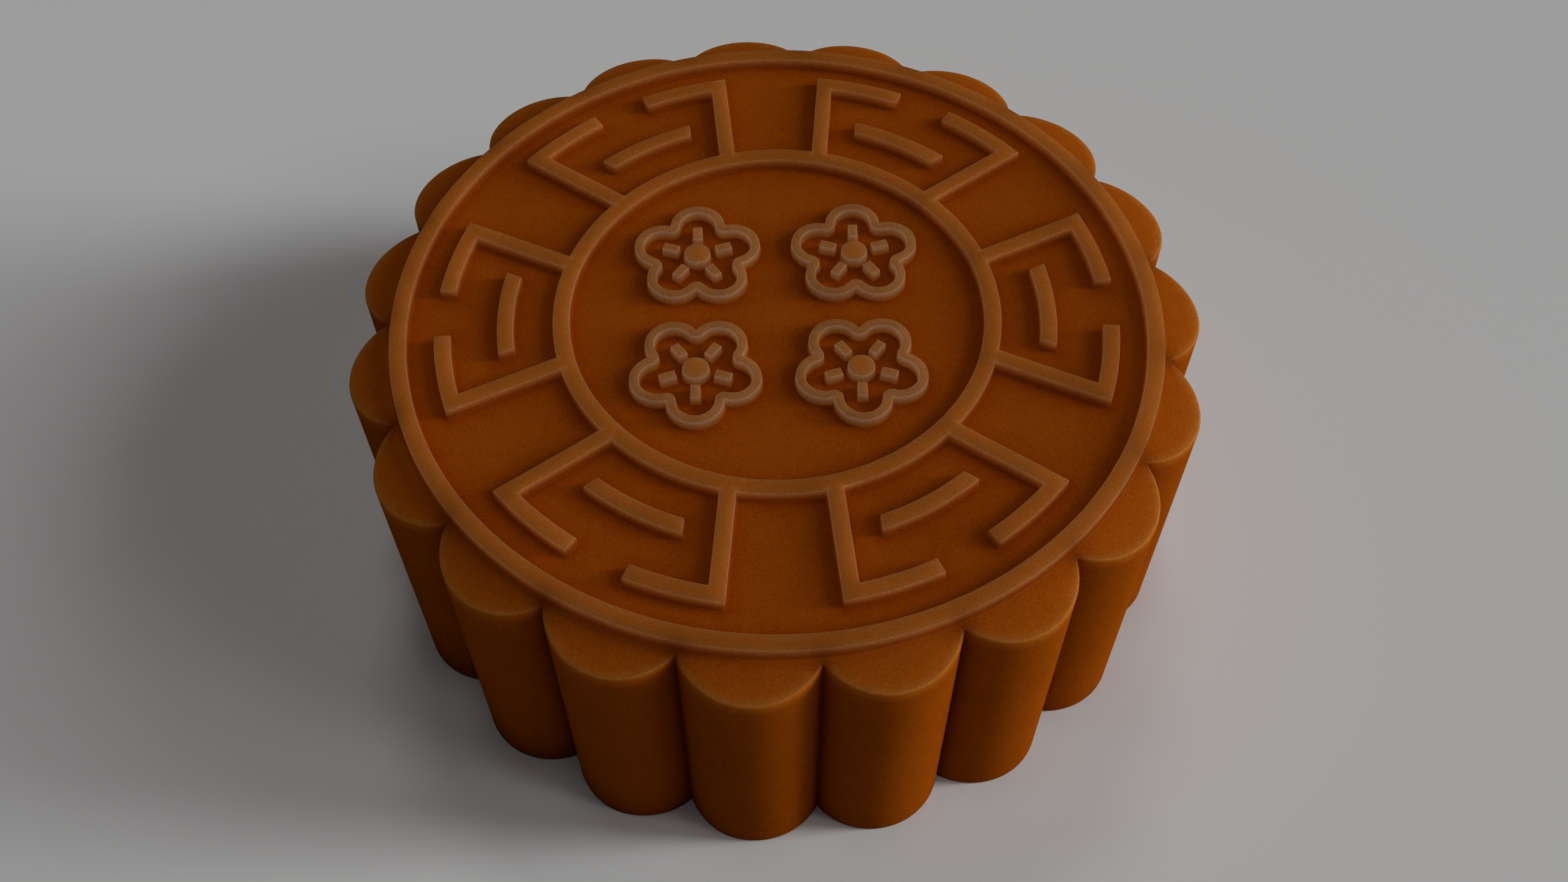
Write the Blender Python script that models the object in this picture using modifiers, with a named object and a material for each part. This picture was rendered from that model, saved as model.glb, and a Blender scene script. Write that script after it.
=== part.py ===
"""A round moulded mooncake: scalloped side, flat top and raised ornament, as one solid of pastry.

Metres, +Z up. The origin is the centre of the flat base, and one lobe points along +X.
"""
from math import asin, atan2, cos, pi, radians, sin, sqrt, tan

import bmesh
import bpy

# Overall form
HEIGHT = 0.0308  # base to the top of the raised ornament
LOBE_COUNT = 19
LOBE_RADIUS = 0.00662
LOBE_CIRCLE_RADIUS = 0.03345  # the lobes' centres lie on this circle
SHOULDER_RADIUS = 0.0351  # the flat top ends here, and the shoulder slopes down outside it
SHOULDER_SLOPE = radians(12.6)
RIM_ROUNDING = 0.00045  # along the top edge of every lobe

# Raised ornament
RELIEF_HEIGHT = 0.00106
RELIEF_ROOT = 0.0006  # how far the ornament's solids run down into the cake
RING_WIDTH = 0.00155
OUTER_RING_RADIUS = 0.036
HUB_RING_RADIUS = 0.02095
BAR_WIDTH = 0.00149

# Six brackets stand on the hub ring: two slanting spokes, each turned in along an arc, and a short middle arc
BRACKET_COUNT = 6
ARM_ARC_RADIUS = 0.03188  # outer side of the arcs that end the spokes
ARM_END_ANGLE = radians(5.0)  # from the bracket's axis to the arcs' free ends
SPOKE_TILT = radians(24.9)  # between a spoke and its bracket's axis
SPOKE_OFFSET = 0.00207  # from the cake's centre to the line of a spoke's outer side
MIDDLE_ARC_RADIUS = 0.0261
MIDDLE_END_ANGLE = radians(10.95)  # on the outer side; the ends slant parallel to the spokes

# Four outlined blossoms in a square fill the middle
BLOSSOM_SPACING_X = 0.0151
BLOSSOM_SPACING_Y = 0.0140
PETAL_COUNT = 5
PETAL_RADIUS = 0.00262
PETAL_CIRCLE_RADIUS = 0.00358
STROKE_WIDTH = 0.00086
PISTIL_RADIUS = 0.00125
STAMEN_REACH = (0.0019, 0.0034)  # from the blossom's centre, start and end

# Facets
LOBE_STEPS = 14
RING_STEPS = 96
HUB_ARC_STEPS = 5
ARM_STEPS = 6
MIDDLE_STEPS = 8
PETAL_STEPS = 9
VALLEY_STEPS = 3
PISTIL_STEPS = 14

CRUST_COLOUR = (0.34, 0.075, 0.005, 1.0)
CRUST_ROUGHNESS = 0.7
MERGE_DISTANCE = 0.000001

FIELD_HEIGHT = HEIGHT - RELIEF_HEIGHT


def clear_scene():
    for old in list(bpy.data.objects):
        bpy.data.objects.remove(old, do_unlink=True)


def new_collection(name):
    collection = bpy.data.collections.new(name)
    bpy.context.scene.collection.children.link(collection)
    return collection


def arc(centre, radius, start, end, steps):
    """Points along an arc, both ends included, for angles in radians."""
    angles = [start + (end - start) * step / steps for step in range(steps + 1)]
    return [(centre[0] + radius * cos(a), centre[1] + radius * sin(a)) for a in angles]


def circle(radius, steps):
    return arc((0.0, 0.0), radius, 0.0, 2 * pi, steps)[:-1]


def turned(points, angle, centre=(0.0, 0.0)):
    """The points turned about the origin, then moved so that the origin comes to centre."""
    return [
        (centre[0] + x * cos(angle) - y * sin(angle), centre[1] + x * sin(angle) + y * cos(angle))
        for x, y in points
    ]


def mirrored(points):
    """The points mirrored across the X axis, in reverse order."""
    return [(x, -y) for x, y in reversed(points)]


def scallops(count, circle_radius, lobe_radius, steps):
    """A closed outline of round lobes that meet in sharp valleys."""
    half_pitch = pi / count
    across = circle_radius * sin(half_pitch)
    valley_radius = circle_radius * cos(half_pitch) + sqrt(lobe_radius ** 2 - across ** 2)
    valley_x = valley_radius * cos(half_pitch) - circle_radius
    reach = atan2(valley_radius * sin(half_pitch), valley_x)
    lobe = arc((circle_radius, 0.0), lobe_radius, -reach, reach, steps)[:-1]
    outline = []
    for index in range(count):
        outline += turned(lobe, 2 * half_pitch * index)
    return outline


def spoke_angle(offset, radius):
    """Where a line parallel to a spoke, at an offset from the cake's centre, crosses a radius."""
    return SPOKE_TILT - asin(offset / radius)


def at_angle(radius, angle):
    return (radius * cos(angle), radius * sin(angle))


def arm_outline():
    """One arm on the +Y side of a bracket's axis: out along the spoke, in along its arc, and back."""
    inner_radius = ARM_ARC_RADIUS - BAR_WIDTH
    inner_offset = SPOKE_OFFSET + BAR_WIDTH
    foot = at_angle(HUB_RING_RADIUS, spoke_angle(SPOKE_OFFSET, HUB_RING_RADIUS))
    inner_foot = at_angle(HUB_RING_RADIUS, spoke_angle(inner_offset, HUB_RING_RADIUS))
    corner = spoke_angle(SPOKE_OFFSET, ARM_ARC_RADIUS)
    inner_corner = spoke_angle(inner_offset, inner_radius)
    outer_side = arc((0.0, 0.0), ARM_ARC_RADIUS, corner, ARM_END_ANGLE, ARM_STEPS)
    inner_side = arc((0.0, 0.0), inner_radius, ARM_END_ANGLE, inner_corner, ARM_STEPS)
    return [foot] + outer_side + inner_side + [inner_foot]


def hub_outline():
    """Outer side of the hub ring with the arms of all the brackets, clockwise."""
    pitch = 2 * pi / BRACKET_COUNT
    foot = spoke_angle(SPOKE_OFFSET, HUB_RING_RADIUS)
    inner_foot = spoke_angle(SPOKE_OFFSET + BAR_WIDTH, HUB_RING_RADIUS)
    inside = arc((0.0, 0.0), HUB_RING_RADIUS, inner_foot, -inner_foot, HUB_ARC_STEPS)[1:-1]
    gap = arc((0.0, 0.0), HUB_RING_RADIUS, -foot, foot - pitch, HUB_ARC_STEPS)[1:-1]
    bracket = arm_outline() + inside + mirrored(arm_outline()) + gap
    outline = []
    for index in range(BRACKET_COUNT):
        outline += turned(bracket, -pitch * index)
    return outline


def middle_bar():
    """The short arc inside a bracket, with its ends cut parallel to the spokes."""
    inner_radius = MIDDLE_ARC_RADIUS - BAR_WIDTH
    end_offset = MIDDLE_ARC_RADIUS * sin(SPOKE_TILT - MIDDLE_END_ANGLE)
    inner_end = spoke_angle(end_offset, inner_radius)
    outer = arc((0.0, 0.0), MIDDLE_ARC_RADIUS, -MIDDLE_END_ANGLE, MIDDLE_END_ANGLE, MIDDLE_STEPS)
    inner = arc((0.0, 0.0), inner_radius, inner_end, -inner_end, MIDDLE_STEPS)
    return outer + inner


def petal_inside():
    """Inner side of the blossom's line: the petals' arcs, joined by arcs round each valley."""
    half_pitch = pi / PETAL_COUNT
    across = PETAL_CIRCLE_RADIUS * sin(half_pitch)
    valley_radius = PETAL_CIRCLE_RADIUS * cos(half_pitch) + sqrt(PETAL_RADIUS ** 2 - across ** 2)
    valley = (valley_radius * cos(half_pitch), valley_radius * sin(half_pitch))
    reach = atan2(valley[1], valley[0] - PETAL_CIRCLE_RADIUS)
    petal = arc((PETAL_CIRCLE_RADIUS, 0.0), PETAL_RADIUS - STROKE_WIDTH, -reach, reach, PETAL_STEPS)
    start = reach + pi
    end = 2 * half_pitch - reach + pi
    return petal + arc(valley, STROKE_WIDTH, start, end, VALLEY_STEPS)[1:-1]


def stamen():
    start, end = STAMEN_REACH
    half = STROKE_WIDTH / 2
    return [(start, -half), (end, -half), (end, half), (start, half)]


def blossom(centre, angle):
    """All the outlines of one blossom; angle is the direction of its first petal."""
    inside = []
    for index in range(PETAL_COUNT):
        inside += turned(petal_inside(), 2 * pi * index / PETAL_COUNT)
    loops = [
        scallops(PETAL_COUNT, PETAL_CIRCLE_RADIUS, PETAL_RADIUS, PETAL_STEPS),
        inside,
        circle(PISTIL_RADIUS, PISTIL_STEPS),
    ]
    for index in range(PETAL_COUNT):
        loops.append(turned(stamen(), 2 * pi * index / PETAL_COUNT))
    return [turned(loop, angle, centre) for loop in loops]


def relief_loops():
    """Every outline of the raised ornament, seen from above."""
    loops = [
        circle(OUTER_RING_RADIUS, RING_STEPS),
        circle(OUTER_RING_RADIUS - RING_WIDTH, RING_STEPS),
        hub_outline(),
        circle(HUB_RING_RADIUS - RING_WIDTH, RING_STEPS),
    ]
    for index in range(BRACKET_COUNT):
        loops.append(turned(middle_bar(), 2 * pi * index / BRACKET_COUNT))
    for side in (-1, 1):
        for end in (-1, 1):
            centre = (side * BLOSSOM_SPACING_X / 2, end * BLOSSOM_SPACING_Y / 2)
            loops += blossom(centre, end * pi / 2)
    return loops


def mesh_from(source, name, collection):
    """A mesh object made from the evaluated source, which is then removed."""
    evaluated = source.evaluated_get(bpy.context.evaluated_depsgraph_get())
    mesh = bpy.data.meshes.new_from_object(evaluated)
    placed = bpy.data.objects.new(name, mesh)
    placed.matrix_world = source.matrix_world.copy()
    collection.objects.link(placed)
    bpy.data.objects.remove(source, do_unlink=True)
    weld(mesh)
    return placed


def weld(mesh):
    form = bmesh.new()
    form.from_mesh(mesh)
    bmesh.ops.remove_doubles(form, verts=form.verts, dist=MERGE_DISTANCE)
    bmesh.ops.recalc_face_normals(form, faces=form.faces)
    form.to_mesh(mesh)
    form.free()


def flat_solid(name, loops, bottom, top, collection):
    """A solid with vertical sides over flat outlines; a loop inside another is a hole."""
    curve = bpy.data.curves.new(name + "_outline", "CURVE")
    curve.dimensions = "2D"
    curve.fill_mode = "BOTH"
    curve.extrude = (top - bottom) / 2
    for loop in loops:
        spline = curve.splines.new("POLY")
        spline.points.add(len(loop) - 1)
        for point, (x, y) in zip(spline.points, loop):
            point.co = (x, y, 0.0, 1.0)
        spline.use_cyclic_u = True
    outline = bpy.data.objects.new(name + "_outline", curve)
    outline.location.z = (top + bottom) / 2
    collection.objects.link(outline)
    bpy.context.view_layer.update()
    return mesh_from(outline, name, collection)


def shoulder_envelope(collection):
    """A turned solid, flat on top to the shoulder and sloping down outside it."""
    outer = LOBE_CIRCLE_RADIUS + 2 * LOBE_RADIUS
    drop = (outer - SHOULDER_RADIUS) * tan(SHOULDER_SLOPE)
    profile = [
        (0.0, FIELD_HEIGHT),
        (SHOULDER_RADIUS, FIELD_HEIGHT),
        (outer, FIELD_HEIGHT - drop),
        (outer, -LOBE_RADIUS),
        (0.0, -LOBE_RADIUS),
    ]
    mesh = bpy.data.meshes.new("shoulder_envelope")
    edges = [(index, index + 1) for index in range(len(profile) - 1)]
    mesh.from_pydata([(x, 0.0, z) for x, z in profile], edges, [])
    envelope = bpy.data.objects.new("shoulder_envelope", mesh)
    collection.objects.link(envelope)
    turn = envelope.modifiers.new("turn", "SCREW")
    turn.steps = RING_STEPS
    turn.render_steps = RING_STEPS
    turn.use_merge_vertices = True
    turn.merge_threshold = MERGE_DISTANCE
    return envelope


def as_cutter(helper):
    helper.hide_render = True
    helper.display_type = "WIRE"


def join_shapes(target, other, operation):
    boolean = target.modifiers.new(other.name, "BOOLEAN")
    boolean.operation = operation
    boolean.solver = "EXACT"
    boolean.object = other
    as_cutter(other)


def round_rim(mesh):
    """Rounds the edge between the vertical side and the shoulder, all the way round."""
    form = bmesh.new()
    form.from_mesh(mesh)
    rim = []
    for edge in form.edges:
        rises = sorted(abs(face.normal.z) for face in edge.link_faces)
        above_middle = all(vertex.co.z > HEIGHT / 2 for vertex in edge.verts)
        if above_middle and rises[0] < 0.1 and rises[1] > 0.5:
            rim.append(edge)
    bmesh.ops.bevel(
        form, geom=rim, offset=RIM_ROUNDING, offset_type="OFFSET", segments=2, profile=0.5, affect="EDGES"
    )
    form.to_mesh(mesh)
    form.free()


def crust():
    material = bpy.data.materials.new("crust")
    material.use_nodes = True
    surface = material.node_tree.nodes["Principled BSDF"]
    surface.inputs["Base Color"].default_value = CRUST_COLOUR
    surface.inputs["Roughness"].default_value = CRUST_ROUGHNESS
    surface.inputs["Metallic"].default_value = 0.0
    material.diffuse_color = CRUST_COLOUR
    return material


def build():
    clear_scene()
    parts = new_collection("mooncake_part")
    helpers = new_collection("helpers")

    side = scallops(LOBE_COUNT, LOBE_CIRCLE_RADIUS, LOBE_RADIUS, LOBE_STEPS)
    block = flat_solid("block", [side], 0.0, HEIGHT, helpers)
    join_shapes(block, shoulder_envelope(helpers), "INTERSECT")
    bpy.context.view_layer.update()
    cake = mesh_from(block, "mooncake", parts)
    round_rim(cake.data)

    relief = flat_solid("relief", relief_loops(), FIELD_HEIGHT - RELIEF_ROOT, HEIGHT, helpers)
    join_shapes(cake, relief, "UNION")
    cake.data.materials.clear()
    cake.data.materials.append(crust())
    cake.data.shade_smooth()
    cake.data.set_sharp_from_angle(angle=radians(30))


build()
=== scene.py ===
from math import atan2, ceil, cos, pi, radians, sin, sqrt, tan

import bpy
import numpy as np
from mathutils import Euler, Matrix, Vector, noise
from mathutils.geometry import delaunay_2d_cdt


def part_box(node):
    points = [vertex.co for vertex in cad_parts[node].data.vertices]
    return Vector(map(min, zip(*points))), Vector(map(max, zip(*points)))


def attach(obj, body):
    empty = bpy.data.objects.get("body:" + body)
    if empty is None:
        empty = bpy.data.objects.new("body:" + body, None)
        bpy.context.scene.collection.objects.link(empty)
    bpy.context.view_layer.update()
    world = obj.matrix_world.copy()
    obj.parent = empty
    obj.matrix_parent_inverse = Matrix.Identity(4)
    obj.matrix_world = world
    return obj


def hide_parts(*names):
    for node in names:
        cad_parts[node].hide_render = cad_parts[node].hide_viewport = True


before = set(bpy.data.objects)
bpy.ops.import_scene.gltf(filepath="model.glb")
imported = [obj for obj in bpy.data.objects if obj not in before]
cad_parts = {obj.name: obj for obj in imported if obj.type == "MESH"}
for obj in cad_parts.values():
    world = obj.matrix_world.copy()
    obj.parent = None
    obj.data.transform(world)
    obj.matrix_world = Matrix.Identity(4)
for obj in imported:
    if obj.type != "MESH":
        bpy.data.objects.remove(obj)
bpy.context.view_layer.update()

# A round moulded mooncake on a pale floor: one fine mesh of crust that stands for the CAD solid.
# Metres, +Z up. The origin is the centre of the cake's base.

# The cake's own dimensions, the same as its solid's
lowest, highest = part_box("mooncake")
HEIGHT = highest.z - lowest.z
LOBE_COUNT = 19
LOBE_RADIUS = 0.00662
LOBE_CIRCLE_RADIUS = highest.x - LOBE_RADIUS
SHOULDER_RADIUS = 0.0351
SHOULDER_SLOPE = radians(12.6)
RELIEF_HEIGHT = 0.00106
FIELD_HEIGHT = HEIGHT - RELIEF_HEIGHT
RING_WIDTH = 0.00155
OUTER_RING_RADIUS = 0.036
HUB_RING_RADIUS = 0.02095
BAR_WIDTH = 0.00149
BRACKET_COUNT = 6
ARM_ARC_RADIUS = 0.03188
ARM_END_ANGLE = radians(5.0)
SPOKE_TILT = radians(24.9)
SPOKE_OFFSET = 0.00207
MIDDLE_ARC_RADIUS = 0.0261
MIDDLE_END_ANGLE = radians(10.95)
BLOSSOM_SPACING = (0.0151, 0.0140)
PETAL_COUNT = 5
PETAL_RADIUS = 0.00262
PETAL_CIRCLE_RADIUS = 0.00358
STROKE_WIDTH = 0.00086
PISTIL_RADIUS = 0.00125
STAMEN_REACH = (0.0019, 0.0034)

# Soft edges that the solid leaves sharp
RIM_ROUNDING = 0.00024
FOOT_ROUNDING = 0.00025
CREST_ROUNDING = 0.0001
WALL_DRAFT = 0.00006
ROOT_ROUNDING = 0.00014

# Slight unevenness of the dough, as pairs of size and height, and how high it starts
UNEVENNESS = [(0.009, 0.00003), (0.003, 0.000012)]
UNEVEN_ABOVE = 0.002

# Where the shades of the crust's colour lie, most of them painted glow along edges and painted
# shade in corners: distances on the cake, then shares of their strength
CREST_GLOW = 0.0002
RIDGE_DEPTH = 0.00003
RIDGE_WIDTH = 0.00005
RIM_GLOW = 0.0011
EDGE_START = 0.0001
EDGE_GLOW = 0.00012
UNDER_RIM_REACH = 0.00045
VALLEY_SHADE_REACH = 0.0011
NOOK_SHADE_REACH = 0.0013
RIDGE_CORE = 0.4
RAISED_FROM = 0.15
BLOSSOM_FOOT = 0.5
SHOULDER_OPENNESS = 0.7

# A depth inside the raised ornament that stands for nowhere near it
FAR_OFF_RELIEF = -1.0

# Mesh spacing
OUTLINE_SPACING = 0.00032
FLAT_SPACING = 0.0006
BASE_SPACING = 0.0024
SIDE_SPACING = 0.0013
ARC_ROWS = 3
WALL_ROWS = 3
MERGE_DISTANCE = 1e-7


# ---------------------------------------------------------------- outlines, seen from above

def arc(centre, radius, start, end):
    """Points along an arc, both ends included."""
    steps = max(2, ceil(abs(end - start) * radius / OUTLINE_SPACING))
    angles = np.linspace(start, end, steps + 1)
    across = centre[0] + radius * np.cos(angles)
    back = centre[1] + radius * np.sin(angles)
    return np.column_stack([across, back])


def straight(start, end):
    """Points along a straight line, both ends included."""
    start = np.array(start)
    end = np.array(end)
    steps = max(1, ceil(np.linalg.norm(end - start) / OUTLINE_SPACING))
    return start + np.linspace(0.0, 1.0, steps + 1)[:, None] * (end - start)


def closed(*stretches):
    """One closed loop from stretches that each start where the last one ends."""
    return np.concatenate([stretch[:-1] for stretch in stretches])


def turned(points, angle, centre=(0.0, 0.0)):
    """The points turned about the origin, then moved so that the origin comes to centre."""
    turn = np.array([[cos(angle), sin(angle)], [-sin(angle), cos(angle)]])
    return points @ turn + np.array(centre)


def circle(radius):
    """A closed circle about the origin."""
    return closed(arc((0.0, 0.0), radius, 0.0, 2 * pi))


def at_angle(radius, angle):
    """The point at a radius and an angle from the X axis."""
    return (radius * cos(angle), radius * sin(angle))


def scallop_valley(count, circle_radius, lobe_radius):
    """Where the lobe on the X axis meets the next one."""
    half_pitch = pi / count
    across = circle_radius * sin(half_pitch)
    radius = circle_radius * cos(half_pitch) + sqrt(lobe_radius ** 2 - across ** 2)
    return at_angle(radius, half_pitch)


def scallops(count, circle_radius, lobe_radius):
    """A closed outline of round lobes that meet in sharp valleys."""
    valley = scallop_valley(count, circle_radius, lobe_radius)
    reach = atan2(valley[1], valley[0] - circle_radius)
    lobe = arc((circle_radius, 0.0), lobe_radius, -reach, reach)
    return closed(*[turned(lobe, 2 * pi * index / count) for index in range(count)])


def spoke_angle(offset, radius):
    """Where a line parallel to a spoke, at an offset from the cake's centre, crosses a radius."""
    return SPOKE_TILT - np.arcsin(offset / radius)


def arm_stretches(foot_radius):
    """The sides of one arm on the +Y side of a bracket's axis, from its foot and back to it."""
    inner_radius = ARM_ARC_RADIUS - BAR_WIDTH
    inner_offset = SPOKE_OFFSET + BAR_WIDTH
    foot = at_angle(foot_radius, spoke_angle(SPOKE_OFFSET, foot_radius))
    inner_foot = at_angle(foot_radius, spoke_angle(inner_offset, foot_radius))
    corner = spoke_angle(SPOKE_OFFSET, ARM_ARC_RADIUS)
    inner_corner = spoke_angle(inner_offset, inner_radius)
    return [
        straight(foot, at_angle(ARM_ARC_RADIUS, corner)),
        arc((0.0, 0.0), ARM_ARC_RADIUS, corner, ARM_END_ANGLE),
        straight(at_angle(ARM_ARC_RADIUS, ARM_END_ANGLE), at_angle(inner_radius, ARM_END_ANGLE)),
        arc((0.0, 0.0), inner_radius, ARM_END_ANGLE, inner_corner),
        straight(at_angle(inner_radius, inner_corner), inner_foot),
    ]


def mirrored(points):
    """The points mirrored across the X axis, in reverse order."""
    return points[::-1] * np.array([1.0, -1.0])


def hub_outline():
    """Outer side of the hub ring with the arms of all the brackets."""
    pitch = 2 * pi / BRACKET_COUNT
    foot = spoke_angle(SPOKE_OFFSET, HUB_RING_RADIUS)
    inner_foot = spoke_angle(SPOKE_OFFSET + BAR_WIDTH, HUB_RING_RADIUS)
    arm = arm_stretches(HUB_RING_RADIUS)
    inside = arc((0.0, 0.0), HUB_RING_RADIUS, inner_foot, -inner_foot)
    other_arm = [mirrored(stretch) for stretch in reversed(arm)]
    gap = arc((0.0, 0.0), HUB_RING_RADIUS, -foot, foot - pitch)
    bracket = arm + [inside] + other_arm + [gap]
    stretches = []
    for index in range(BRACKET_COUNT):
        stretches += [turned(stretch, -pitch * index) for stretch in bracket]
    return closed(*stretches)


def middle_bar():
    """The short arc inside a bracket, with its ends cut parallel to the spokes."""
    inner_radius = MIDDLE_ARC_RADIUS - BAR_WIDTH
    end_offset = MIDDLE_ARC_RADIUS * sin(SPOKE_TILT - MIDDLE_END_ANGLE)
    inner_end = spoke_angle(end_offset, inner_radius)
    outer = arc((0.0, 0.0), MIDDLE_ARC_RADIUS, -MIDDLE_END_ANGLE, MIDDLE_END_ANGLE)
    inner = arc((0.0, 0.0), inner_radius, inner_end, -inner_end)
    return closed(outer, straight(outer[-1], inner[0]), inner, straight(inner[-1], outer[0]))


def petal_inside():
    """Inner side of the blossom's line at one petal, up to the next one."""
    half_pitch = pi / PETAL_COUNT
    valley = scallop_valley(PETAL_COUNT, PETAL_CIRCLE_RADIUS, PETAL_RADIUS)
    reach = atan2(valley[1], valley[0] - PETAL_CIRCLE_RADIUS)
    petal = arc((PETAL_CIRCLE_RADIUS, 0.0), PETAL_RADIUS - STROKE_WIDTH, -reach, reach)
    return [petal, arc(valley, STROKE_WIDTH, reach + pi, 2 * half_pitch - reach + pi)]


def stamen():
    """The bar along +X between a blossom's middle and its petal."""
    start, end = STAMEN_REACH
    half = STROKE_WIDTH / 2
    corners = [(start, -half), (end, -half), (end, half), (start, half)]
    sides = [straight(corners[index], corners[(index + 1) % 4]) for index in range(4)]
    return closed(*sides)


def blossom():
    """All the outlines of one blossom, with a petal along +X."""
    pitch = 2 * pi / PETAL_COUNT
    inside = []
    for index in range(PETAL_COUNT):
        inside += [turned(stretch, pitch * index) for stretch in petal_inside()]
    loops = [
        scallops(PETAL_COUNT, PETAL_CIRCLE_RADIUS, PETAL_RADIUS),
        closed(*inside),
        circle(PISTIL_RADIUS),
    ]
    return loops + [turned(stamen(), pitch * index) for index in range(PETAL_COUNT)]


def relief_loops():
    """Every outline of the raised ornament."""
    loops = [
        circle(OUTER_RING_RADIUS),
        circle(OUTER_RING_RADIUS - RING_WIDTH),
        circle(HUB_RING_RADIUS - RING_WIDTH),
        hub_outline(),
    ]
    for index in range(BRACKET_COUNT):
        loops.append(turned(middle_bar(), 2 * pi * index / BRACKET_COUNT))
    for side in (-1, 1):
        for end in (-1, 1):
            centre = (side * BLOSSOM_SPACING[0] / 2, end * BLOSSOM_SPACING[1] / 2)
            loops += [turned(loop, end * pi / 2, centre) for loop in blossom()]
    return loops


def offset_loop(loop, distance):
    """A closed loop moved to the left of its direction.

    Corners that point away from the move are mitred, and a corner that points along it moves by
    the distance itself, as if the new line went round it.
    """
    along = np.roll(loop, -1, axis=0) - loop
    along /= np.linalg.norm(along, axis=1)[:, None]
    left = np.column_stack([-along[:, 1], along[:, 0]])
    before = np.roll(left, 1, axis=0)
    middle = left + before
    mitre = middle / (1.0 + (left * before).sum(axis=1))[:, None]
    direct = middle / np.linalg.norm(middle, axis=1)[:, None]
    turn = before[:, 0] * left[:, 1] - before[:, 1] * left[:, 0]
    points_along = (turn * distance < 0.0)[:, None]
    return loop + distance * np.where(points_along, direct, mitre)


# ---------------------------------------------------------------- depth inside the raised ornament

def inside_polygon(points, polygon):
    """Signed distance to a closed polygon, positive inside it."""
    nearest = np.full(len(points), np.inf)
    inside = np.zeros(len(points), dtype=bool)
    for start, end in zip(polygon, np.roll(polygon, -1, axis=0)):
        side = end - start
        to_point = points - start
        share = np.clip(to_point @ side / (side @ side), 0.0, 1.0)
        nearest = np.minimum(nearest, np.linalg.norm(to_point - share[:, None] * side, axis=1))
        crosses = (start[1] > points[:, 1]) != (end[1] > points[:, 1])
        if start[1] != end[1]:
            at_height = start[0] + (points[:, 1] - start[1]) * side[0] / side[1]
            inside ^= crosses & (points[:, 0] < at_height)
    return np.where(inside, nearest, -nearest)


def folded(points, count):
    """The points turned and mirrored into one half of the sector about the X axis."""
    pitch = 2 * pi / count
    radius = np.hypot(points[:, 0], points[:, 1])
    angle = np.arctan2(points[:, 1], points[:, 0])
    angle = np.abs((angle + pitch / 2) % pitch - pitch / 2)
    return np.column_stack([radius * np.cos(angle), radius * np.sin(angle)])


def inside_ring(points, outer_radius, width):
    """Signed distance to a ring, positive inside it."""
    radius = np.hypot(points[:, 0], points[:, 1])
    return width / 2 - np.abs(radius - (outer_radius - width / 2))


def inside_scallops(points, count, circle_radius, lobe_radius):
    """Signed distance to a scalloped outline, for points folded into half a lobe's sector."""
    valley = np.array(scallop_valley(count, circle_radius, lobe_radius))
    from_centre = points - np.array([circle_radius, 0.0])
    reach = atan2(valley[1], valley[0] - circle_radius)
    to_arc = lobe_radius - np.linalg.norm(from_centre, axis=1)
    to_valley = np.linalg.norm(points - valley, axis=1)
    faces_arc = np.arctan2(from_centre[:, 1], from_centre[:, 0]) <= reach
    in_notch = (to_arc < 0.0) & (points[:, 0] > valley[0])
    return np.where(faces_arc | in_notch, to_arc, to_valley)


def inside_blossom(points):
    """Signed distance to a blossom's lines, for points about its centre with a petal along +X."""
    petal = folded(points, PETAL_COUNT)
    within = inside_scallops(petal, PETAL_COUNT, PETAL_CIRCLE_RADIUS, PETAL_RADIUS)
    line = np.minimum(within, STROKE_WIDTH - within)
    pistil = PISTIL_RADIUS - np.hypot(points[:, 0], points[:, 1])
    return np.maximum.reduce([line, pistil, inside_polygon(petal, stamen())])


def inside_blossoms(points):
    """Signed distance to the lines of the nearest of the four blossoms."""
    quarter = np.abs(points) - np.array(BLOSSOM_SPACING) / 2
    return inside_blossom(quarter[:, ::-1] * np.array([1.0, -1.0]))


def inside_lobes(points):
    """Signed distance to the cake's own outline, positive inside it."""
    lobe = folded(points, LOBE_COUNT)
    return inside_scallops(lobe, LOBE_COUNT, LOBE_CIRCLE_RADIUS, LOBE_RADIUS)


def relief_depth(points):
    """How far inside the raised ornament a point is; negative off it."""
    bracket = folded(points, BRACKET_COUNT)
    deep_foot = HUB_RING_RADIUS - RING_WIDTH / 2
    arm = arm_stretches(deep_foot)
    arm.append(straight(arm[-1][-1], arm[0][0]))
    return np.maximum.reduce([
        inside_ring(points, OUTER_RING_RADIUS, RING_WIDTH),
        inside_ring(points, HUB_RING_RADIUS, RING_WIDTH),
        inside_polygon(bracket, closed(*arm)),
        inside_polygon(bracket, middle_bar()),
        inside_blossoms(points),
    ])


# ---------------------------------------------------------------- heights

def quarter_round(radius, distance):
    """Drop of a rounded edge at a distance inside it, from the full radius at 0 to none."""
    inner = np.clip(radius - distance, 0.0, radius)
    return radius - np.sqrt(radius ** 2 - inner ** 2)


def ground_height(points):
    """The cake's top without its ornament: flat, then sloping down over the lobes."""
    radius = np.hypot(points[:, 0], points[:, 1])
    return FIELD_HEIGHT - np.maximum(radius - SHOULDER_RADIUS, 0.0) * tan(SHOULDER_SLOPE)


def top_height(points, depth):
    """Height of the top at points whose depth inside the ornament is known."""
    ground = ground_height(points)
    relief = HEIGHT - ground
    crest = HEIGHT - quarter_round(CREST_ROUNDING, depth)
    share = np.clip(-depth / WALL_DRAFT, 0.0, 1.0)
    wall = HEIGHT - CREST_ROUNDING - share * (relief - CREST_ROUNDING - ROOT_ROUNDING)
    root = ground + quarter_round(ROOT_ROUNDING, -WALL_DRAFT - depth)
    return np.where(depth >= 0.0, crest, np.where(depth >= -WALL_DRAFT, wall, root))


def round_steps(radius):
    """Distances from a rounded edge, from the edge inwards, for even turns of its surface."""
    turn = np.linspace(0.0, pi / 2, ARC_ROWS + 1)
    return radius * (1.0 - np.cos(turn))


# ---------------------------------------------------------------- the mesh

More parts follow.
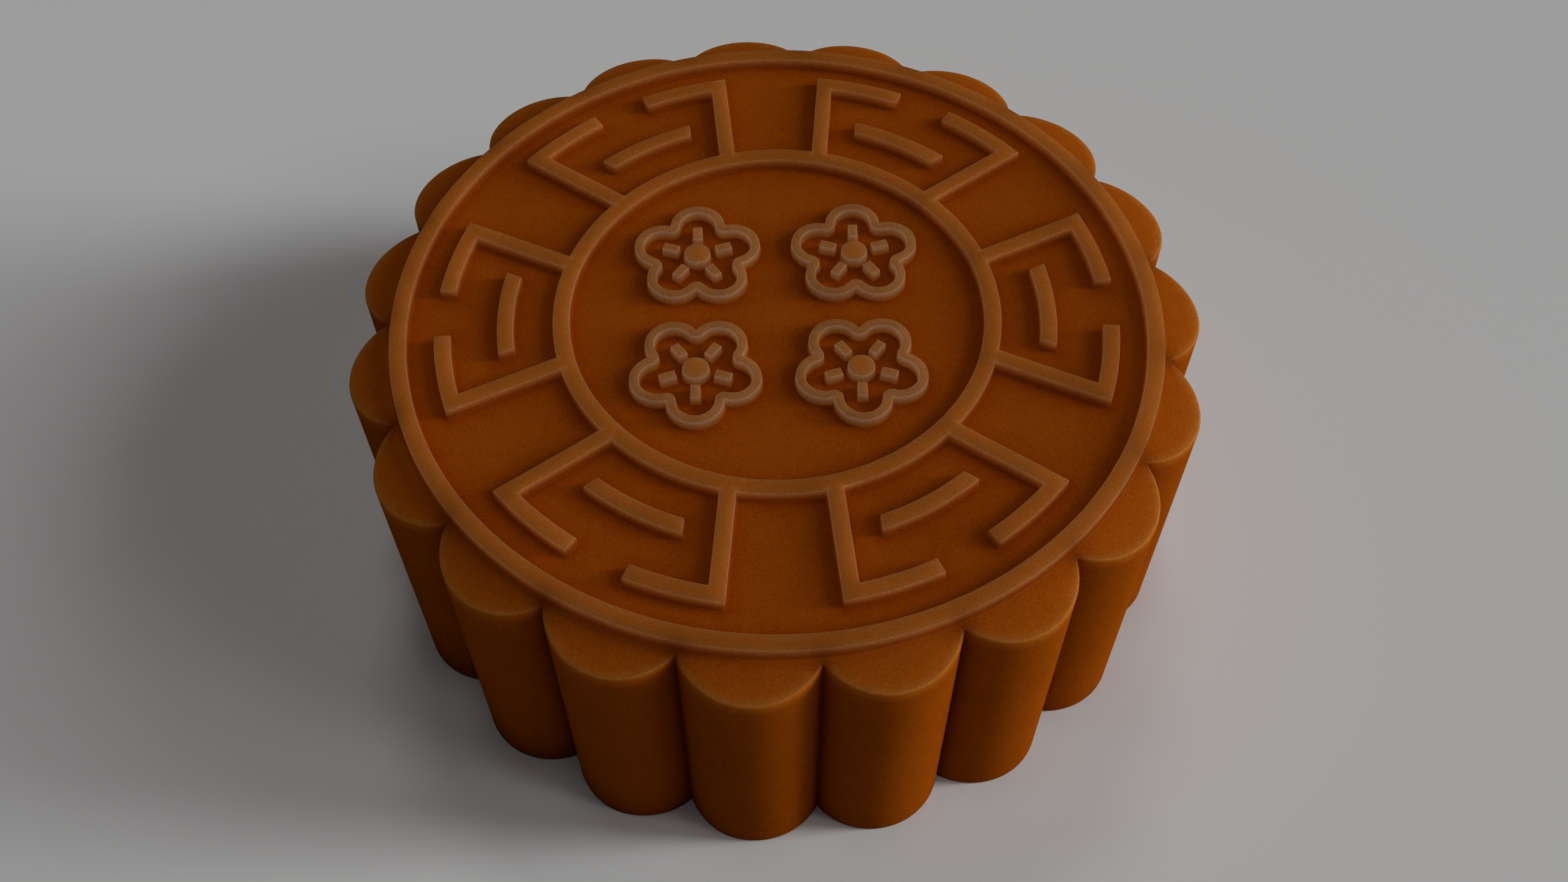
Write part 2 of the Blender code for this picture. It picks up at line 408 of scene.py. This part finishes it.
def edge_depths():
    """Depths of the mesh's rows over the side of a raised line, from its crest to the field."""
    crest = round_steps(CREST_ROUNDING)[::-1]
    wall = -WALL_DRAFT * (np.arange(1, WALL_ROWS) / WALL_ROWS)
    root = -WALL_DRAFT - ROOT_ROUNDING + round_steps(ROOT_ROUNDING)[::-1]
    return np.concatenate([crest, wall, root])


def raised_side(loop):
    """1 if the ornament is on the loop's left, -1 if it is on its right."""
    probe = offset_loop(loop, CREST_ROUNDING / 2)
    return 1.0 if np.median(relief_depth(probe)) > 0.0 else -1.0


def hex_grid(radius, spacing):
    """A triangular grid of points within a radius."""
    row_pitch = spacing * sqrt(3) / 2
    rows = int(radius / row_pitch) + 1
    columns = int(radius / spacing) + 1
    row, column = np.mgrid[-rows:rows + 1, -columns:columns + 1]
    across = (column + 0.5 * (row % 2)).ravel() * spacing
    points = np.column_stack([across, row.ravel() * row_pitch])
    return points[np.hypot(points[:, 0], points[:, 1]) < radius]


def fill(loops, loose):
    """Triangles between closed loops, with loose points among them.

    Returns the points, the triangles and, for each point of the first loop, its number in them.
    """
    points = []
    edges = []
    for loop in loops:
        start = len(points)
        points += loop.tolist()
        edges += [(start + index, start + (index + 1) % len(loop)) for index in range(len(loop))]
    points += loose.tolist()
    corners = [Vector(point) for point in points]
    inside_edges = 1
    found = delaunay_2d_cdt(corners, edges, [], inside_edges, MERGE_DISTANCE)
    flat, triangles, sources = found[0], found[2], found[3]
    numbers = {}
    for number, origins in enumerate(sources):
        for origin in origins:
            if origin < len(loops[0]):
                numbers[origin] = number
    first_loop = [numbers[origin] for origin in range(len(loops[0]))]
    return np.array([point[:] for point in flat]), triangles, first_loop


def strip(first, second):
    """Quads between two closed rows of the same number of points."""
    count = len(first)
    return [
        (first[index], second[index], second[(index + 1) % count], first[(index + 1) % count])
        for index in range(count)
    ]


def top_grid():
    """Loose points of the top, clear of its edges and of the sides of the raised lines."""
    loose = hex_grid(LOBE_CIRCLE_RADIUS + LOBE_RADIUS, FLAT_SPACING)
    depth = relief_depth(loose)
    clear = FLAT_SPACING / 2
    on_lines = depth > CREST_ROUNDING + clear
    on_field = depth < -WALL_DRAFT - ROOT_ROUNDING - clear
    off_rim = inside_lobes(loose) > RIM_ROUNDING + clear
    return loose[(on_lines | on_field) & off_rim]


def top_surface(rim):
    """The top inside the rim: points in space, triangles, and the rim's own point numbers."""
    loops = [rim]
    for loop in relief_loops():
        side = raised_side(loop)
        loops += [offset_loop(loop, side * depth) for depth in edge_depths()]
    flat, triangles, rim_numbers = fill(loops, top_grid())
    height = top_height(flat, relief_depth(flat))
    return np.column_stack([flat, height]), triangles, rim_numbers


def side_rows(outline):
    """Rows of points from just under the rim, down the side and under the foot."""
    rim_steps = round_steps(RIM_ROUNDING)[::-1][1:]
    rows = []
    for step in rim_steps:
        row = offset_loop(outline, step)
        height = ground_height(row) - quarter_round(RIM_ROUNDING, step)
        rows.append(np.column_stack([row, height]))
    top = rows[-1][:, 2]
    count = ceil((HEIGHT - FOOT_ROUNDING) / SIDE_SPACING)
    for index in range(1, count + 1):
        height = top + (FOOT_ROUNDING - top) * index / count
        rows.append(np.column_stack([outline, height]))
    for step in round_steps(FOOT_ROUNDING)[1:]:
        row = offset_loop(outline, step)
        height = np.full(len(row), quarter_round(FOOT_ROUNDING, step))
        rows.append(np.column_stack([row, height]))
    return rows


def unevenness(points):
    """Slight lift and fall of the baked dough, none at the base."""
    lift = np.zeros(len(points))
    for size, height in UNEVENNESS:
        lift += [height * noise.noise(Vector(point) / size) for point in points]
    return lift * np.clip(points[:, 2] / UNEVEN_ABOVE - 1.0, 0.0, 1.0)


def faded(distance, reach):
    """1 at no distance and less further away: 0.37 at the reach."""
    return np.exp(-np.maximum(distance, 0.0) / reach)


def relief_shades(flat, depth, rise):
    """The shades of the raised lines, from a point's depth in them and its share of their rise:
    painted glow on their tops, crests and walls, and painted shade at their feet.
    """
    in_blossom = inside_blossoms(flat) > -WALL_DRAFT - ROOT_ROUNDING
    raised = np.clip(rise / RAISED_FROM, 0.0, 1.0)
    on_wall = np.clip(1.0 - depth / CREST_ROUNDING, 0.0, 1.0)
    off_ridge = np.abs(depth - RIDGE_DEPTH) / RIDGE_WIDTH
    return {
        "raised": raised,
        # painted glow: the raised lines paler all over, as if light scattered through them
        "relief": rise,
        # painted glow along the crests of the raised lines, fading inwards
        "crest": rise * faded(depth - CREST_ROUNDING, CREST_GLOW),
        # painted highlight: a pale line just inside each crest
        "ridge_painted_highlight": rise * np.clip(1.0 + RIDGE_CORE - off_ridge, 0.0, 1.0),
        # painted glow on the walls of the raised lines, strongest at the crest
        "wall": rise * on_wall,
        # painted shade at the foot of the raised lines' walls, half as strong in the blossoms
        "foot": raised * (1.0 - rise) * (1.0 - BLOSSOM_FOOT * in_blossom),
        # painted glow: the blossoms' thin lines paler than the other raised lines
        "stroke_painted_glow": raised * in_blossom,
        # painted glow on the walls of the blossoms' lines
        "stroke_wall_painted_glow": raised * in_blossom * on_wall,
    }


def outline_shades(flat, below_top, on_side):
    """The painted glow along the cake's rim and its edge, and the painted shade in the valleys
    between its lobes.
    """
    from_rim = np.where(on_side, below_top, inside_lobes(flat))
    from_edge = from_rim - np.where(on_side, 0.0, EDGE_START)
    valley = np.array(scallop_valley(LOBE_COUNT, LOBE_CIRCLE_RADIUS, LOBE_RADIUS))
    from_valley = np.linalg.norm(folded(flat, LOBE_COUNT) - valley, axis=1)
    return {
        # painted glow on the lobes' tops near the rim
        "rim": ~on_side * faded(from_rim, RIM_GLOW),
        # painted glow on the side just under the rim
        "under_rim_painted_glow": on_side * faded(from_rim, UNDER_RIM_REACH),
        # painted highlight along the rim's edge, on the top and the side
        "edge": faded(from_edge, EDGE_GLOW),
        # painted shade in the valleys between the lobes
        "valley": faded(from_valley, VALLEY_SHADE_REACH),
    }


def crust_shades(points, top_count):
    """How strong each shade of the crust's colour is at each point, from 0 to 1; most are painted
    glow and painted shade.
    """
    flat = points[:, :2]
    on_side = np.arange(len(points)) >= top_count
    depth = np.full(len(points), FAR_OFF_RELIEF)
    depth[~on_side] = relief_depth(flat[~on_side])
    ground = ground_height(flat)
    rise = np.clip((points[:, 2] - ground) / (HEIGHT - ground), 0.0, 1.0)
    shades = relief_shades(flat, depth, rise)
    shades.update(outline_shades(flat, ground - points[:, 2], on_side))
    radius = np.hypot(flat[:, 0], flat[:, 1])
    shoulder = np.clip((radius - OUTER_RING_RADIUS) / CREST_ROUNDING, 0.0, 1.0) * ~on_side
    # painted shade on the field beside the raised lines, weaker on the shoulder
    painted_shade_closeness = faded(-depth, NOOK_SHADE_REACH) * (1.0 - SHOULDER_OPENNESS * shoulder)
    shades["nook_painted_shade"] = ~on_side * (1.0 - shades["raised"]) * painted_shade_closeness
    shades["shoulder"] = shoulder
    # painted shade: the cake's side darker than its top
    shades["side"] = on_side.astype(float)
    return shades


def side_surface(outline, above, total):
    """The side under the rim's numbered points: its rows, its faces and its foot's numbers."""
    rows = side_rows(outline)
    faces = []
    for row in rows:
        below = list(range(total, total + len(row)))
        faces += strip(above, below)
        total += len(row)
        above = below
    return rows, faces, above


def base_surface(foot, foot_numbers, total):
    """The flat base inside the foot: its new points and its faces."""
    flat, triangles, on_foot = fill([foot], hex_grid(LOBE_CIRCLE_RADIUS, BASE_SPACING))
    numbers = dict(zip(on_foot, foot_numbers))
    points = []
    for number, place in enumerate(flat):
        if number not in numbers:
            numbers[number] = total + len(points)
            points.append((place[0], place[1], 0.0))
    faces = [tuple(numbers[number] for number in reversed(corners)) for corners in triangles]
    return np.array(points), faces


def crust_surface():
    """The whole cake's points and faces, and how many of the points lie on its top."""
    outline = scallops(LOBE_COUNT, LOBE_CIRCLE_RADIUS, LOBE_RADIUS)
    top, top_faces, rim_numbers = top_surface(offset_loop(outline, RIM_ROUNDING))
    rows, side_faces, foot_numbers = side_surface(outline, rim_numbers, len(top))
    total = len(top) + sum(len(row) for row in rows)
    base, base_faces = base_surface(rows[-1][:, :2], foot_numbers, total)
    points = np.concatenate([top] + rows + [base])
    return points, top_faces + side_faces + base_faces, len(top)


def crust_mesh():
    """The cake's mesh, with its shades as attributes of its points."""
    points, faces, top_count = crust_surface()
    shades = crust_shades(points, top_count)
    points[:, 2] += unevenness(points)
    mesh = bpy.data.meshes.new("mooncake_crust")
    mesh.from_pydata(points.tolist(), [], faces)
    for name, values in shades.items():
        shade = mesh.attributes.new(name, "FLOAT", "POINT")
        shade.data.foreach_set("value", values)
    mesh.update()
    return mesh


# ---------------------------------------------------------------- staging

FLOOR_SIZE = 4.0


def add_floor():
    """A plain floor under the cake."""
    half = FLOOR_SIZE / 2
    mesh = bpy.data.meshes.new("floor")
    corners = [(-half, -half, 0.0), (half, -half, 0.0), (half, half, 0.0), (-half, half, 0.0)]
    mesh.from_pydata(corners, [], [(0, 1, 2, 3)])
    mesh.materials.append(floor_material())
    floor = bpy.data.objects.new("floor", mesh)
    bpy.context.scene.collection.objects.link(floor)


# The camera stands over the front of the cake and looks down at it
CAMERA_LENS = 35.7
SENSOR_WIDTH = 36.0
NEAREST_SEEN = 0.001
CAMERA_BACK = 0.09440  # from the cake's axis
CAMERA_ABOVE_TOP = 0.11142
CAMERA_TILT = radians(35.36)
CAMERA_ROLL = radians(-0.39)
VIEW_TURN = radians(-0.86)


def add_camera():
    """The camera over the front of the cake, then turned with its place about the cake's axis."""
    data = bpy.data.cameras.new("camera")
    data.lens = CAMERA_LENS
    data.sensor_width = SENSOR_WIDTH
    data.clip_start = NEAREST_SEEN
    camera = bpy.data.objects.new("camera", data)
    turn = Matrix.Rotation(VIEW_TURN, 4, "Z")
    place = Matrix.Translation((0.0, -CAMERA_BACK, HEIGHT + CAMERA_ABOVE_TOP))
    tilt = Euler((CAMERA_TILT, 0.0, CAMERA_ROLL)).to_matrix().to_4x4()
    camera.matrix_world = turn @ place @ tilt
    bpy.context.scene.collection.objects.link(camera)
    bpy.context.scene.camera = camera


# ---------------------------------------------------------------- materials

CRUST_COLOUR = (0.34, 0.069, 0.0033)
CRUST_ROUGHNESS = 0.6
CRUST_SHINE = 0.0

# Light scattered inside the crust: its share and its distance, each for the plain crust and for
# the raised ornament, and how far each colour goes against the distance
SCATTER_WEIGHT = (0.3, 1.0)
SCATTER_SCALE = (0.01, 0.009)
SCATTER_RADII = (1.0, 1.0, 1.0)

# What each shade multiplies the crust's red, green and blue by, where it is full. Most are painted
# light: glow on the raised lines and along the rim, shade in the valleys, beside and at the foot
# of the raised lines, and on the side.
SHADES = {
    # painted glow: the raised lines paler all over, as if light scattered through them
    "relief": (0.955, 1.24, 2.65),
    # painted glow along the crests of the raised lines
    "crest": (0.96, 1.23, 2.5),
    # painted highlight: a pale line just inside each crest
    "ridge_painted_highlight": (1.3, 1.45, 1.75),
    # on the walls of the raised lines, their painted glow a little less red and green and a little
    # bluer
    "wall": (0.94, 0.91, 1.05),
    # painted shade at the foot of the walls of the raised lines
    "foot": (0.42, 0.25, 0.5),
    # painted glow: the blossoms' thin lines paler
    "stroke_painted_glow": (0.96, 1.14, 1.6),
    # painted glow on the walls of the blossoms' lines
    "stroke_wall_painted_glow": (0.92, 1.15, 1.8),
    # painted shade on the field beside the raised lines
    "nook_painted_shade": (0.7, 0.5, 0.28),
    "shoulder": (0.97, 1.0, 1.25),
    # painted glow on the lobes' tops near the rim
    "rim": (1.26, 1.45, 1.5),
    # painted highlight along the rim's edge
    "edge": (1.02, 1.9, 7.5),
    # painted shade: the cake's side darker than its top
    "side": (0.81, 0.81, 0.76),
    # painted glow on the side just under the rim
    "under_rim_painted_glow": (1.7, 1.75, 1.7),
    # painted shade in the valleys between the lobes
    "valley": (0.3, 0.12, 0.03),
}

# Mottle as pairs of size and strength
MOTTLE = [(0.0001, 0.18), (0.00022, 0.14), (0.0012, 0.04), (0.007, 0.05)]
NOISE_DETAIL = 2.0
NOISE_MIDDLE = 0.5
NOISE_SWING = 0.25

# Fine relief of the crust, and the painted shade in its pores
GRAIN_SIZE = 0.0002
GRAIN_DEPTH = 0.000006
DIMPLE_SIZE = 0.0011
DIMPLE_DEPTH = 0.000012
PORE_SPACING = 0.0011
PORE_RADII = (0.06, 0.13)  # against the spacing, where a pore is full and where it ends
PORE_SHARE = 0.25  # of the places where a pore could be
PORE_DEPTH = 0.00002
PORE_PAINTED_SHADE = (0.88, 0.82, 0.8)

FLOOR_COLOUR = (0.8, 0.8, 0.8, 1.0)
FLOOR_ROUGHNESS = 0.7
FLOOR_SHINE = 0.2

# Sockets of a mix of vectors, which share their names with those of its other kinds
MIX_FIRST = 4
MIX_SECOND = 5
MIX_RESULT = 1


def new_material(name):
    """A new material with nodes: itself, its node tree and its shader."""
    material = bpy.data.materials.new(name)
    material.use_nodes = True
    tree = material.node_tree
    return material, tree, tree.nodes["Principled BSDF"]


def node(tree, kind, **settings):
    """A new node with its settings."""
    made = tree.nodes.new(kind)
    for name, value in settings.items():
        setattr(made, name, value)
    return made


def math_node(tree, operation, *operands):
    """The result of an operation on numbers and other nodes' results."""
    made = node(tree, "ShaderNodeMath", operation=operation)
    for socket, value in zip(made.inputs, operands):
        if isinstance(value, float):
            socket.default_value = value
        else:
            tree.links.new(value, socket)
    return made.outputs[0]


def shade_of(tree, name):
    """How strong one of the mesh's shades is, from 0 to 1."""
    return node(tree, "ShaderNodeAttribute", attribute_name=name).outputs["Fac"]


def multiplied(tree, colour, factors, share):
    """The colour, multiplied by the factors where the share is 1."""
    tint = node(tree, "ShaderNodeVectorMath", operation="MULTIPLY")
    tint.inputs[1].default_value = factors
    tree.links.new(colour, tint.inputs[0])
    mix = node(tree, "ShaderNodeMix", data_type="VECTOR")
    tree.links.new(share, mix.inputs["Factor"])
    tree.links.new(colour, mix.inputs[MIX_FIRST])
    tree.links.new(tint.outputs[0], mix.inputs[MIX_SECOND])
    return mix.outputs[MIX_RESULT]


def noise_at(tree, place, size):
    """Noise about its middle value, with spots of a size."""
    texture = node(tree, "ShaderNodeTexNoise")
    texture.inputs["Scale"].default_value = 1.0 / size
    texture.inputs["Detail"].default_value = NOISE_DETAIL
    tree.links.new(place, texture.inputs["Vector"])
    return texture.outputs["Fac"]


def pores_at(tree, place):
    """1 in small pits that are scattered over the crust, 0 between them."""
    cells = node(tree, "ShaderNodeTexVoronoi")
    cells.inputs["Scale"].default_value = 1.0 / PORE_SPACING
    tree.links.new(place, cells.inputs["Vector"])
    full, end = PORE_RADII
    pit = node(tree, "ShaderNodeMapRange", interpolation_type="SMOOTHSTEP")
    pit.inputs["From Min"].default_value = full
    pit.inputs["From Max"].default_value = end
    pit.inputs["To Min"].default_value = 1.0
    pit.inputs["To Max"].default_value = 0.0
    tree.links.new(cells.outputs["Distance"], pit.inputs["Value"])
    lot = node(tree, "ShaderNodeSeparateColor")
    tree.links.new(cells.outputs["Color"], lot.inputs["Color"])
    chosen = math_node(tree, "LESS_THAN", lot.outputs["Red"], PORE_SHARE)
    return math_node(tree, "MULTIPLY", pit.outputs["Result"], chosen)


def bumped(tree, place, pores):
    """The normal of fine grain, soft dimples and pores."""
    grain = math_node(tree, "MULTIPLY", noise_at(tree, place, GRAIN_SIZE), GRAIN_DEPTH)
    dimples = math_node(tree, "MULTIPLY", noise_at(tree, place, DIMPLE_SIZE), DIMPLE_DEPTH)
    pits = math_node(tree, "MULTIPLY", pores, -PORE_DEPTH)
    height = math_node(tree, "ADD", math_node(tree, "ADD", grain, dimples), pits)
    bump = node(tree, "ShaderNodeBump")
    bump.inputs["Distance"].default_value = 1.0
    tree.links.new(height, bump.inputs["Height"])
    return bump.outputs["Normal"]


def colour_with_painted_light(tree):
    """The crust's colour with all of its shades, most of them painted glow and painted shade."""
    plain = node(tree, "ShaderNodeCombineXYZ")
    for socket, value in zip(plain.inputs, CRUST_COLOUR):
        socket.default_value = value
    colour = plain.outputs["Vector"]
    for name, factors in SHADES.items():
        colour = multiplied(tree, colour, factors, shade_of(tree, name))
    return colour


def mottled(tree, colour, place):
    """The colour, made a little lighter and darker in spots."""
    for size, strength in MOTTLE:
        gain = strength / NOISE_SWING
        least = 1.0 - NOISE_MIDDLE * gain
        swing = math_node(tree, "MULTIPLY_ADD", noise_at(tree, place, size), gain, least)
        scaled = node(tree, "ShaderNodeVectorMath", operation="SCALE")
        tree.links.new(colour, scaled.inputs[0])
        tree.links.new(swing, scaled.inputs["Scale"])
        colour = scaled.outputs[0]
    return colour


def add_scatter(tree, shader):
    """Light scattered inside the crust, more of it in the raised ornament."""
    shader.subsurface_method = "BURLEY"
    shader.inputs["Subsurface Radius"].default_value = SCATTER_RADII
    raised = shade_of(tree, "raised")
    amounts = {"Subsurface Weight": SCATTER_WEIGHT, "Subsurface Scale": SCATTER_SCALE}
    for name, (plain, ornament) in amounts.items():
        amount = math_node(tree, "MULTIPLY_ADD", raised, ornament - plain, plain)
        tree.links.new(amount, shader.inputs[name])


def crust_material():
    """Matt baked crust with fine grain and pores, painted glow along its edges and on its raised
    lines, and painted shade in its corners and pores.
    """
    material, tree, shader = new_material("baked_crust")
    place = node(tree, "ShaderNodeTexCoord").outputs["Object"]
    pores = pores_at(tree, place)
    # painted shade in the pores
    colour = multiplied(tree, colour_with_painted_light(tree), PORE_PAINTED_SHADE, pores)
    tree.links.new(mottled(tree, colour, place), shader.inputs["Base Color"])
    tree.links.new(bumped(tree, place, pores), shader.inputs["Normal"])
    shader.inputs["Roughness"].default_value = CRUST_ROUGHNESS
    shader.inputs["Specular IOR Level"].default_value = CRUST_SHINE
    add_scatter(tree, shader)
    return material


def floor_material():
    """A plain pale floor."""
    material, tree, shader = new_material("floor")
    shader.inputs["Base Color"].default_value = FLOOR_COLOUR
    shader.inputs["Roughness"].default_value = FLOOR_ROUGHNESS
    shader.inputs["Specular IOR Level"].default_value = FLOOR_SHINE
    return material


# ---------------------------------------------------------------- light

BACKDROP_COLOUR = (0.33, 0.33, 0.33, 1.0)
SOFTNESS = radians(15.0)
LIGHT_DISTANCE = 0.5

KEY_COLOUR = (0.96, 1.0, 1.0)
FILL_COLOUR = (1.0, 0.955, 0.94)

# Soft lights as azimuth, elevation, strength and colour: a tall one on the right, and weak ones
# above, which are a little warmer
LIGHTS = {
    "key_low": (0.0, 10.0, 1.42, KEY_COLOUR),
    "key_middle": (0.0, 22.0, 0.7, KEY_COLOUR),
    "key_high": (0.0, 35.0, 0.36, KEY_COLOUR),
    "front_fill": (-20.0, 35.0, 0.31, FILL_COLOUR),
    "back_fill": (90.0, 60.0, 0.24, FILL_COLOUR),
    "top_fill": (0.0, 90.0, 0.26, FILL_COLOUR),
}


def add_world():
    """A backdrop that the camera sees and that gives no light."""
    world = bpy.data.worlds.new("world")
    world.use_nodes = True
    tree = world.node_tree
    background = tree.nodes["Background"]
    background.inputs["Color"].default_value = BACKDROP_COLOUR
    path = node(tree, "ShaderNodeLightPath")
    tree.links.new(path.outputs["Is Camera Ray"], background.inputs["Strength"])
    bpy.context.scene.world = world


def add_light(name, azimuth, elevation, strength, colour):
    """A distant soft light."""
    data = bpy.data.lights.new(name, "SUN")
    data.angle = SOFTNESS
    data.energy = strength
    data.color = colour
    light = bpy.data.objects.new(name, data)
    along = cos(radians(elevation))
    across, back = at_angle(along, radians(azimuth))
    towards = Vector((across, back, sin(radians(elevation))))
    light.rotation_euler = towards.to_track_quat("Z", "Y").to_euler()
    light.location = towards * LIGHT_DISTANCE
    bpy.context.scene.collection.objects.link(light)


# ---------------------------------------------------------------- the scene

def add_crust():
    """The cake in place of its solid."""
    mesh = crust_mesh()
    mesh.materials.append(crust_material())
    crust = bpy.data.objects.new("crust", mesh)
    bpy.context.scene.collection.objects.link(crust)
    mesh.shade_smooth()
    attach(crust, "root")
    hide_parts("mooncake")


add_crust()
add_floor()
add_camera()
add_world()
for name, values in LIGHTS.items():
    add_light(name, *values)
bpy.context.scene.view_settings.view_transform = "Standard"
